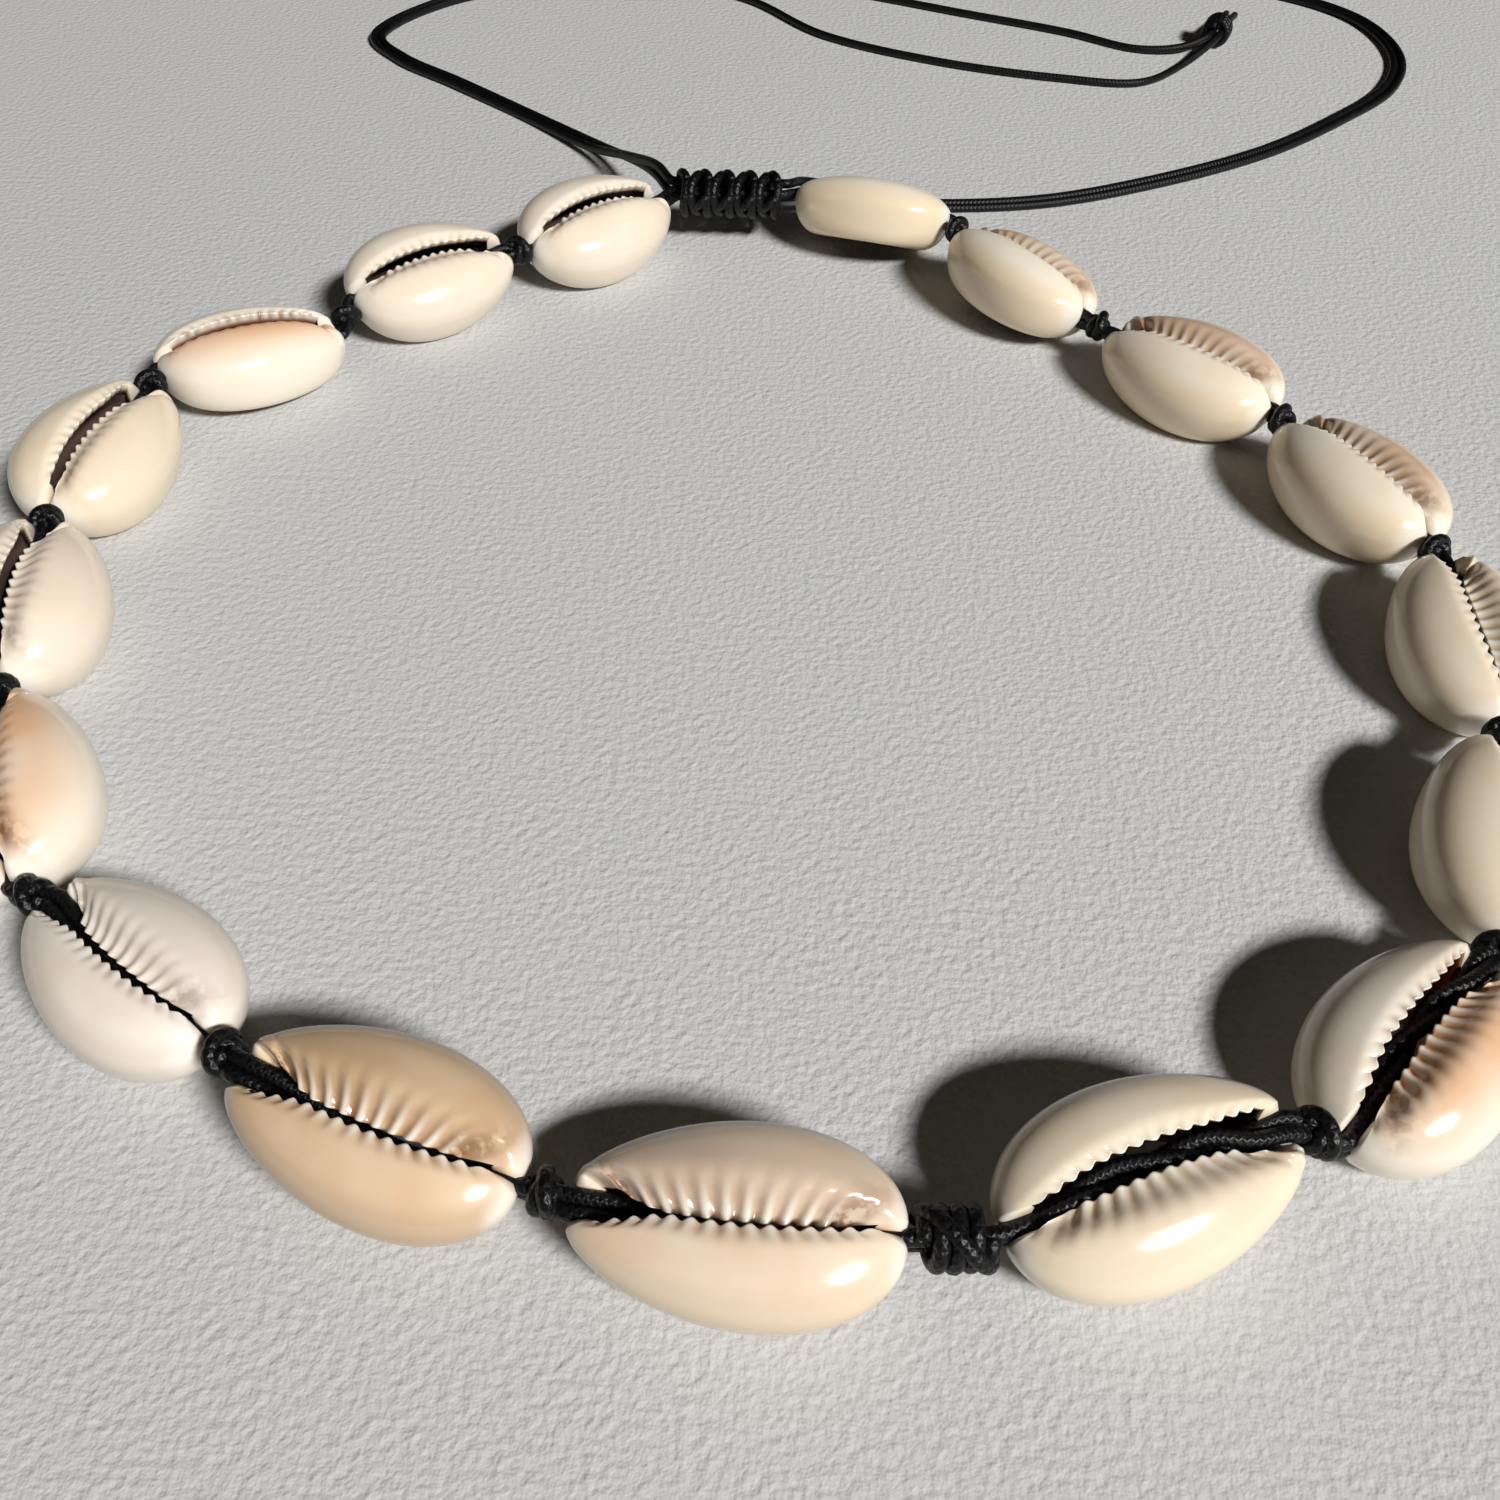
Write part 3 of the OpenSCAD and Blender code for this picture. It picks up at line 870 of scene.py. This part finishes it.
def smooth_path(points: list[Vector], step: float) -> list[Vector]:
    """Draws a smooth path through points, even along its length.

    It is a centripetal Catmull-Rom curve, which never loops between close points.

    Args:
        points: The points that it goes through.
        step: The distance between the path's own points, in millimetres.

    Returns:
        The path's points, with the first and last of the given ones at its ends.
    """
    ends = [2 * points[0] - points[1], *points, 2 * points[-1] - points[-2]]
    fine: list[Vector] = []
    for a, b, c, d in zip(ends, ends[1:], ends[2:], ends[3:]):
        knots = [0.0]
        for p, q in ((a, b), (b, c), (c, d)):
            knots.append(knots[-1] + sqrt(max(1e-3, (q - p).length)))
        count = max(2, int((c - b).length / (0.4 * step)))
        for n in range(count):
            t = mix(knots[1], knots[2], n / count)
            level = [a, b, c, d]
            for spans in (((0, 1), (1, 2), (2, 3)), ((0, 2), (1, 3)), ((1, 2),)):
                level = [p.lerp(q, (t - knots[i]) / (knots[j] - knots[i]))
                         for p, q, (i, j) in zip(level, level[1:], spans)]
            fine += level
    fine.append(points[-1].copy())
    even, carried = [fine[0]], 0.0
    for p, q in zip(fine, fine[1:]):
        carried += (q - p).length
        if carried >= step:
            even.append(q)
            carried = 0.0
    if (even[-1] - fine[-1]).length < 0.4 * step:
        even.pop()
    return [*even, fine[-1]]


def sweep(mesh: BMesh, path: list[Vector], diameter: float = CORD.diameter,
          sides: int = CORD.sides) -> None:
    """Sweeps a round cord along a path into a mesh, with a UV map round and along it.

    Args:
        mesh: The mesh that it is added to.
        path: The middles of the cord's rings, in millimetres.
        diameter: The cord's diameter.
        sides: How many sides it has.
    """
    uv = mesh.loops.layers.uv.get("cord") or mesh.loops.layers.uv.new("cord")
    ring = bmesh.ops.create_circle(mesh, segments=sides, radius=diameter / 2)["verts"]
    shape = [vert.co.copy() for vert in ring]
    tangents = [(path[min(n + 1, len(path) - 1)] - path[max(n - 1, 0)]).normalized()
                for n in range(len(path))]
    turn = tangents[0].to_track_quat("Z", "X")
    first, along = ring, 0.0
    seats: dict[BMVert, tuple[int, float]] = {}
    for n, (middle, tangent) in enumerate(zip(path, tangents)):
        if n:
            turn = tangents[n - 1].rotation_difference(tangent) @ turn
            along += (path[n] - path[n - 1]).length
            ring = next_ring(mesh, ring)
        for column, (vert, point) in enumerate(zip(ring, shape)):
            vert.co = turn @ point + middle
            seats[vert] = (column, along)
    for face in {face for vert in seats for face in vert.link_faces}:
        columns = {seats[loop.vert][0] for loop in face.loops}
        for loop in face.loops:
            column, distance = seats[loop.vert]
            wraps = column == 0 and sides - 1 in columns
            loop[uv].uv = ((sides if wraps else column) / sides, distance)
    for loop in (first, ring):
        bmesh.ops.contextual_create(mesh, geom=ring_edges(mesh, loop))


def finish_cord(name: str, mesh: BMesh, node: str) -> Object:
    """Finishes a piece of waxed cord, given in millimetres, that stands for a node."""
    return finish_piece(name, mesh, WaxedCord().build(), node)


@dataclass(frozen=True)
class WayRow:
    """A point of the cord pair's way through a shell: its place, level and turn in degrees."""

    share: float
    level: float
    turn: float


@dataclass
class Threading:
    """The cord pair's way through the shells, as in the part's source."""

    front_stand: float = 1.35
    back_stand: float = 0.95
    snug: float = 0.54
    end_clear: float = 0.1
    slider: tuple[float, float, float] = (-3.5, 67.7, 6.4)
    slider_inside: float = 0.3
    slider_outside: float = 6.65

    def rows(self, shell: Cowrie) -> list[WayRow]:
        """Rows of the way through one shell: under its mouth, or along it where it is wide.

        The two cords lie side by side in the front notch, and one over the other in the back one.

        Args:
            shell: The shell.

        Returns:
            Its rows, from the front end to the back.
        """
        front = shell.notch_floor(True) + self.front_stand
        back = shell.notch_floor(False) + self.back_stand
        low = shell.place.cord
        if shell.rides:
            rows = ((1.0, front, 0), (0.7, front + 0.3, 50), (0.4, low, 150), (0.1, low, 250),
                    (-0.2, low, 340), (-0.5, low, 410), (-0.8, back, 450), (-1.0, back, 450))
        else:
            rows = ((1.0, front, 0), (0.75, front - 0.3, 0), (0.35, low + 0.3, 20), (0.0, low, 45),
                    (-0.35, low, 70), (-0.75, back - 0.2, 90), (-1.0, back, 90))
        return [WayRow(*row) for row in rows]

    def points(self, shell: Cowrie, start: float, sign: int) -> list[Vector]:
        """One cord's way through one shell, in the order in which the shells are strung.

        Args:
            shell: The shell.
            start: The pair's turn where it comes in, in degrees.
            sign: 1 for the upper cord and -1 for the lower.

        Returns:
            The points, in the part's frame.
        """
        rows = self.rows(shell)
        front_in = shell.number <= FRONT_FIRST
        points = []
        for row in rows if front_in else reversed(rows):
            end = abs(row.share) == 1
            phase = radians(start + (row.turn if front_in else rows[-1].turn - row.turn))
            points.append(shell.placed(Vector((
                row.share * (shell.half_length + (self.end_clear if end else 0)),
                (0 if end else shell.bow_at(row.share)) + sign * self.snug * cos(phase),
                row.level + sign * self.snug * sin(phase)))))
        return points

    def ways(self, shells: list[Cowrie], sign: int) -> list[list[Vector]]:
        """One cord's way through all the shells.

        Args:
            shells: The shells, in order.
            sign: 1 for the upper cord and -1 for the lower.

        Returns:
            A list of points for each shell.
        """
        ways, turn = [], 0.0
        for shell in shells:
            ways.append(self.points(shell, turn, sign))
            turn += self.rows(shell)[-1].turn + (0 if shell.number == FRONT_FIRST else 90)
        return ways

    def build(self, shells: list[Cowrie]) -> None:
        """Makes the upper and the lower loop cord.

        Args:
            shells: The shells that they hold, in order.
        """
        middle = Vector(self.slider)
        for sign, name in ((1, "loop_cord_upper"), (-1, "loop_cord_lower")):
            ways, other = self.ways(shells, sign), self.ways(shells, -sign)
            first = (ways[0][0] - other[0][0]) / 2
            last = (ways[-1][-1] - other[-1][-1]) / 2
            route = [middle + Vector((-s, 0, 0)) + first
                     for s in (self.slider_inside, self.slider_outside)]
            route += [point for way in ways for point in way]
            route += [middle + Vector((s, 0, 0)) + last
                      for s in (self.slider_outside, self.slider_inside)]
            mesh = bmesh.new()
            sweep(mesh, smooth_path(route, CORD.step))
            finish_cord(f"{name}_braid", mesh, name)


@dataclass(frozen=True)
class Axes:
    """A middle, a way along, and two ways across it."""

    middle: Vector
    along: Vector
    across: Vector
    up: Vector

    @classmethod
    def between(cls, start: Vector, end: Vector, shift: float = 0.0) -> "Axes":
        """Makes axes in the middle of two points.

        Args:
            start: The first point.
            end: The second point, which the way along runs to.
            shift: How far the middle is moved along, in millimetres.

        Returns:
            The axes.
        """
        along = (end - start).normalized()
        across = Vector((0, 0, 1)).cross(along).normalized()
        return cls((start + end) / 2 + shift * along, along, across, along.cross(across))

    def point(self, x: float, radius: float, angle: float) -> Vector:
        """A point at a distance along, a radius out and an angle round from the top."""
        return (self.middle + x * self.along + radius * cos(angle) * self.up
                + radius * sin(angle) * self.across)


@dataclass(frozen=True)
class StringKnot:
    """An overhand knot in the doubled cord: snug wraps, and a strand that crosses over them."""

    wraps: int = 2
    length: float = 2.0
    diameter: float = 3.5
    sunk: float = 0.8
    tucked: float = 0.72
    wrap_steps: int = 16
    over_steps: int = 12
    over_turn: float = 0.62
    over_rise: float = 0.5

    def build(self, node: str, axes: Axes, roll: float) -> None:
        """Makes the knot round the pair.

        Args:
            node: The node that it stands for.
            axes: Where it sits, and its ways.
            roll: Turn of its crossing strand from the top, in radians.
        """
        mesh = bmesh.new()
        radius = self.diameter / 2 - CORD.diameter * self.sunk
        half = self.length / 2
        wound = []
        for t in shares(self.wrap_steps * self.wraps):
            # Wraps stand out in the knot's middle, and their ends tuck in
            barrel = radius * (0.94 + 0.16 * sin(pi * t))
            out = mix(radius * self.tucked, barrel, smooth(0.0, 0.06, t) * smooth(1.0, 0.94, t))
            wound.append(axes.point(mix(-half, half, t) * 0.9, out, roll + 2 * pi * self.wraps * t))
        sweep(mesh, smooth_path(wound, CORD.wrap_step))
        over = []
        for t in shares(self.over_steps):
            rise = CORD.diameter * self.over_rise * sin(pi * t) ** 0.6
            over.append(axes.point(mix(half, -half, smooth(0, 1, t)) * 0.95,
                                   radius * mix(0.8, 1, sin(pi * t)) + rise,
                                   roll + pi * mix(-self.over_turn, self.over_turn, t)))
        sweep(mesh, smooth_path(over, CORD.wrap_step))
        finish_cord(f"{node}_wraps", mesh, node)


@dataclass(frozen=True)
class SlidingKnot:
    """The sliding clasp: a row of half knots that the tails tie round the loop's two ends."""

    axes: Axes
    length: float = 12.5
    diameter: float = 5.4
    half_knots: int = 9
    steps: int = 24
    bulge: float = 0.16
    slant: float = 0.3
    weave: float = 0.22
    roll: float = 0.4

    def half_knot(self, x: float, side: int) -> list[Vector]:
        """The closed way of one half knot.

        Args:
            x: Its place along the clasp.
            side: 1 or -1, the side that it is tied from.

        Returns:
            The points of its way, in millimetres.
        """
        radius, pitch = (self.diameter - CORD.diameter) / 2, self.pitch
        way = []
        for angle in (2 * pi * t for t in shares(self.steps)):
            out = radius * (1 + self.bulge * cos(angle - side * pi / 2) ** 2)
            along = x + side * self.slant * sin(angle) + self.weave * pitch * cos(2 * angle)
            way.append(self.axes.point(along, out, angle + self.roll * side))
        return way

    @property
    def pitch(self) -> float:
        """The distance from one half knot to the next."""
        return (self.length - CORD.diameter) / (self.half_knots - 1)

    def build(self) -> None:
        """Makes the row of half knots."""
        mesh = bmesh.new()
        for n in range(self.half_knots):
            x = (CORD.diameter - self.length) / 2 + n * self.pitch
            side = 1 if n % 2 else -1
            sweep(mesh, smooth_path(self.half_knot(x, side), CORD.step))
            # The strand that runs on from one half knot to the next makes a bump at the side
            if n:
                start = 1.12 * (self.diameter - CORD.diameter) / 2
                on = [self.axes.point(x - self.pitch * (1 - t), start + 0.28 * sin(pi * t),
                                      side * pi / 2 + 0.5 * (t - 0.5)) for t in shares(4)]
                sweep(mesh, smooth_path(on, CORD.step), CORD.diameter * 0.95)
        finish_cord("sliding_knot_wraps", mesh, "sliding_knot")


@dataclass(frozen=True)
class StopperKnot:
    """A stopper: one tail cord wound three and a half times round the pair, near the ends."""

    name: str
    axes: Axes
    length: float = 5.0
    diameter: float = 4.6
    wraps: float = 3.6
    wrap_steps: int = 20
    tucked: float = 0.75

    def build(self) -> Object:
        """Makes the stopper.

        Returns:
            The wound cord.
        """
        mesh = bmesh.new()
        radius = (self.diameter - CORD.diameter) / 2
        wound = []
        for t in shares(int(self.wrap_steps * self.wraps)):
            ends = smooth(0, 0.08, t) * smooth(1, 0.92, t)
            wound.append(self.axes.point(
                mix(-1, 1, t) * (self.length - CORD.diameter) / 2,
                radius * mix(self.tucked, 1, ends), 2 * pi * self.wraps * t))
        sweep(mesh, smooth_path(wound, CORD.wrap_step))
        return finish_cord(f"{self.name}_wraps", mesh, self.name)


@dataclass(frozen=True)
class Tail:
    """One tail's way, in rows of its pair's middle and turn, and then of each cord's own points.

    Each cord has its name, its side of the pair and its rows. The end is the sliding knot's end
    that the tail leaves, and the knot and the heading are its stopper's middle and direction.
    """

    name: str
    end: int
    shared: tuple[Row, ...]
    cords: tuple[tuple[str, int, tuple[Row, ...]], ...]
    knot: Row
    heading: Row


REST = CORD.diameter / 2 + 0.02
STOPPER_LEVEL = 2.32
TAILS = (
    Tail("left", -1, (
        (-13, 74, 6.2, 90), (-16.5, 81, 4.4, 45), (-23, 91, 1.6, 0), (-32, 101, REST, 0),
        (-46, 113.5, REST, 0), (-56, 122, REST, 0), (-61.5, 131, REST, 0), (-54, 145.5, REST, 0),
    ), (
        ("inner", -1, (
            (-36, 156, REST), (-18, 158, REST), (-3, 151, REST), (10, 136, REST),
            (28, 126.5, REST), (46, 121.5, REST), (58, 120.5, REST), (66, 127.5, REST))),
        ("outer", 1, (
            (-36, 159.5, REST), (-14, 163, REST), (8, 158, REST), (34, 147, REST),
            (50, 140, REST), (60, 134, REST), (67, 133.5, 1.2))),
    ), (73.5, 138, STOPPER_LEVEL), (0.4, 0.92, 0)),
    Tail("right", 1, (
        (5.5, 73.2, 5, 90), (9.5, 76.1, 3.2, 45), (15, 77.5, 1.4, 0), (22, 78, REST, 0),
        (38, 80, REST, 0), (54, 86.5, REST, 0), (72, 97, REST, 0), (86, 109, REST, 0),
        (97, 121, REST, 0), (102, 134, REST, 0), (100, 149, REST, 0), (90, 159.5, REST, 0),
        (70, 166, REST, 0), (45, 170, REST, 0), (20, 172, REST, 0),
    ), (("inner", 1, ()), ("outer", -1, ())), (4, 172.5, STOPPER_LEVEL), (-1, 0, 0)),
)


@dataclass(frozen=True)
class Tails:
    """The two tails, each a pair of cords that lies loose on the floor."""

    slider: Vector
    slider_half: float = 6.25
    face_gap: float = 0.05
    face_ring: float = 2.1
    high_angle: float = 75
    low_angle: float = 118
    bare_end: float = 10.0
    stopper_half: float = 3.0

    def start(self, end: int, angle: float) -> list[Vector]:
        """Where a cord leaves an end face of the sliding knot, at an angle from its top."""
        return [self.slider + Vector((end * (self.slider_half + self.face_gap + out),
                                      self.face_ring * sin(radians(angle)),
                                      self.face_ring * cos(radians(angle)))) for out in (0, 1)]

    def beside(self, shared: tuple[Row, ...], by: float) -> list[Vector]:
        """One cord's way beside the middle of its pair.

        Args:
            shared: Rows of the pair's middle and turn.
            by: How far the cord lies to the left of the middle.

        Returns:
            The cord's points.
        """
        middle = [Vector(row[:3]) for row in shared]
        points = []
        for n, row in enumerate(shared):
            way = middle[min(n + 1, len(middle) - 1)] - middle[max(n - 1, 0)]
            flat, turn = hypot(way.x, way.y), radians(row[3])
            points.append(middle[n] + by * Vector((
                -way.y / flat * cos(turn), way.x / flat * cos(turn), sin(turn))))
        return points

    def through(self, middle: Vector, axis: Vector, by: float) -> list[Vector]:
        """One cord's way through its stopper and on to its bare end on the floor.

        Args:
            middle: The stopper's middle.
            axis: The stopper's way.
            by: How far the cord lies to the left of the middle.

        Returns:
            The cord's points.
        """
        on = middle + by * Vector((-axis.y, axis.x, 0))
        return [on - self.stopper_half * axis, on + self.stopper_half * axis,
                on + (self.stopper_half + self.bare_end) * axis - Vector((0, 0, middle.z - REST))]

    def lay(self, name: str, route: list[Vector]) -> None:
        """Args:
            name: The cord's node.
            route: Its points, in millimetres.
        """
        path = smooth_path(route, CORD.tail_step)
        mesh = bmesh.new()
        sweep(mesh, path, sides=CORD.tail_sides)
        piece = finish_cord(f"{name}_braid", mesh, name)

    def build(self) -> None:
        """Makes both tails, with their stoppers."""
        knots = [(Vector(tail.knot), Vector(tail.heading).normalized()) for tail in TAILS]
        stoppers = [
            StopperKnot(f"{tail.name}_stopper", Axes.between(middle - axis, middle + axis)).build()
            for tail, (middle, axis) in zip(TAILS, knots)]
        for tail, (middle, axis), stopper in zip(TAILS, knots, stoppers):
            for name, sign, own in tail.cords:
                by = sign * CORD.pair_half
                route = self.start(tail.end, self.high_angle if sign > 0 else self.low_angle)
                route += self.beside(tail.shared, by) + [Vector(row) for row in own]
                self.lay(f"{tail.name}_tail_{name}", route + self.through(middle, axis, by))


# How far each knot between two shells sits from the middle of its gap, in millimetres
KNOT_SHIFTS = (0, 0.2, 1.2, 0.15, -0.05, 0.5, -0.2, 0, 0, -0.3, -0.4, 0, -0.2, -0.2, 0, -0.7)


@dataclass
class Necklace:
    """The whole necklace, made from its cords outwards."""

    shells: list[Cowrie] = field(default_factory=lambda: [
        Cowrie(n, place) for n, place in enumerate(PLACES, start=1)])
    threading: Threading = field(default_factory=Threading)

    def knots(self) -> None:
        """Makes the small knots between the shells, and the big one at the ring's front."""
        upper, lower = (self.threading.ways(self.shells, sign) for sign in (1, -1))
        for n, shift in enumerate(KNOT_SHIFTS, start=1):
            start = (upper[n - 1][-1] + lower[n - 1][-1]) / 2
            end = (upper[n][0] + lower[n][0]) / 2
            knot = StringKnot()
            if n == FRONT_FIRST:
                knot = StringKnot(4, (end - start).length - 1, 4.8)
            knot.build(f"knot_{n:02d}", Axes.between(start, end, shift), 0.5 * (n % 3) - 0.5)

    def build(self) -> None:
        """Makes all the pieces in order."""
        middle, side = Vector(self.threading.slider), Vector((1, 0, 0))
        Tails(middle).build()
        self.threading.build(self.shells)
        self.knots()
        SlidingKnot(Axes.between(middle - side, middle + side)).build()
        for shell in self.shells:
            shell.build()


@dataclass(frozen=True)
class Lamp:
    """A soft oval light: its place and size in metres, its power, colour and share of shine."""

    name: str
    place: Row
    size: Row
    watts: float
    colour: str
    shine: float

    def build(self) -> None:
        """Hangs the light, facing the necklace."""
        data = bpy.data.lights.new(self.name, "AREA")
        data.shape = "ELLIPSE"
        data.size, data.size_y = self.size
        data.energy = self.watts
        data.color = linear(self.colour)[:3]
        data.specular_factor = self.shine
        light = bpy.data.objects.new(self.name, data)
        away = Vector(self.place) - Vector((0, 0.02, 0))
        light.rotation_euler = away.to_track_quat("Z", "Y").to_euler()
        light.location = self.place
        bpy.context.scene.collection.objects.link(light)


@dataclass(frozen=True)
class Studio:
    """The camera at the photo's angle, the surface that the necklace lies on, and the lights."""

    eye: Row = (0.95, -103.5, 88.44)
    pitch: float = 47.24
    roll: float = 1.56
    lens: float = 33.6
    sensor: float = 36
    floor_width: float = 4.0
    lamps: tuple[Lamp, ...] = (
        Lamp("key", (2.0, -2.1, 2.4), (1.12, 0.42), 182.0, "#fffdfb", 1.0),
        Lamp("fill", (-1.1, -0.2, 0.75), (0.6, 0.6), 0.4, "#ffe3c2", 0.1))
    air: str = "#e9edf2"
    air_strength: float = 0.009

    def camera(self) -> None:
        """Sets the camera."""
        data = bpy.data.cameras.new("camera")
        data.lens = self.lens
        data.sensor_width = self.sensor
        data.sensor_fit = "AUTO"
        data.clip_start = 0.005
        camera = bpy.data.objects.new("camera", data)
        # It is pitched down from the level, and rolled about the way that it looks
        camera.matrix_world = (Matrix.Translation(Vector(self.eye) * MM)
                               @ Matrix.Rotation(radians(90 - self.pitch), 4, "X")
                               @ Matrix.Rotation(radians(self.roll), 4, "Z"))
        bpy.context.scene.collection.objects.link(camera)
        bpy.context.scene.camera = camera

    def floor(self) -> None:
        """Lays the surface under the necklace."""
        mesh = bmesh.new()
        bmesh.ops.create_grid(mesh, x_segments=4, y_segments=4, size=self.floor_width / 2)
        data = bpy.data.meshes.new("surface")
        mesh.to_mesh(data)
        mesh.free()
        data.materials.append(PaintedBoard().build())
        surface = bpy.data.objects.new("surface", data)
        bpy.context.scene.collection.objects.link(surface)

    def build(self) -> None:
        """Sets up the studio."""
        self.camera()
        self.floor()
        for lamp in self.lamps:
            lamp.build()
        world = bpy.data.worlds.new("studio")
        world.use_nodes = True
        shade = world.node_tree.nodes["Background"]
        shade.inputs["Color"].default_value = linear(self.air)
        shade.inputs["Strength"].default_value = self.air_strength
        bpy.context.scene.world = world
        bpy.context.scene.view_settings.view_transform = "Standard"


def main() -> None:
    """Builds the studio and the necklace."""
    logging.basicConfig(level=logging.INFO, format="%(message)s")
    Studio().build()
    Necklace().build()


if __name__ == "__main__":
    main()
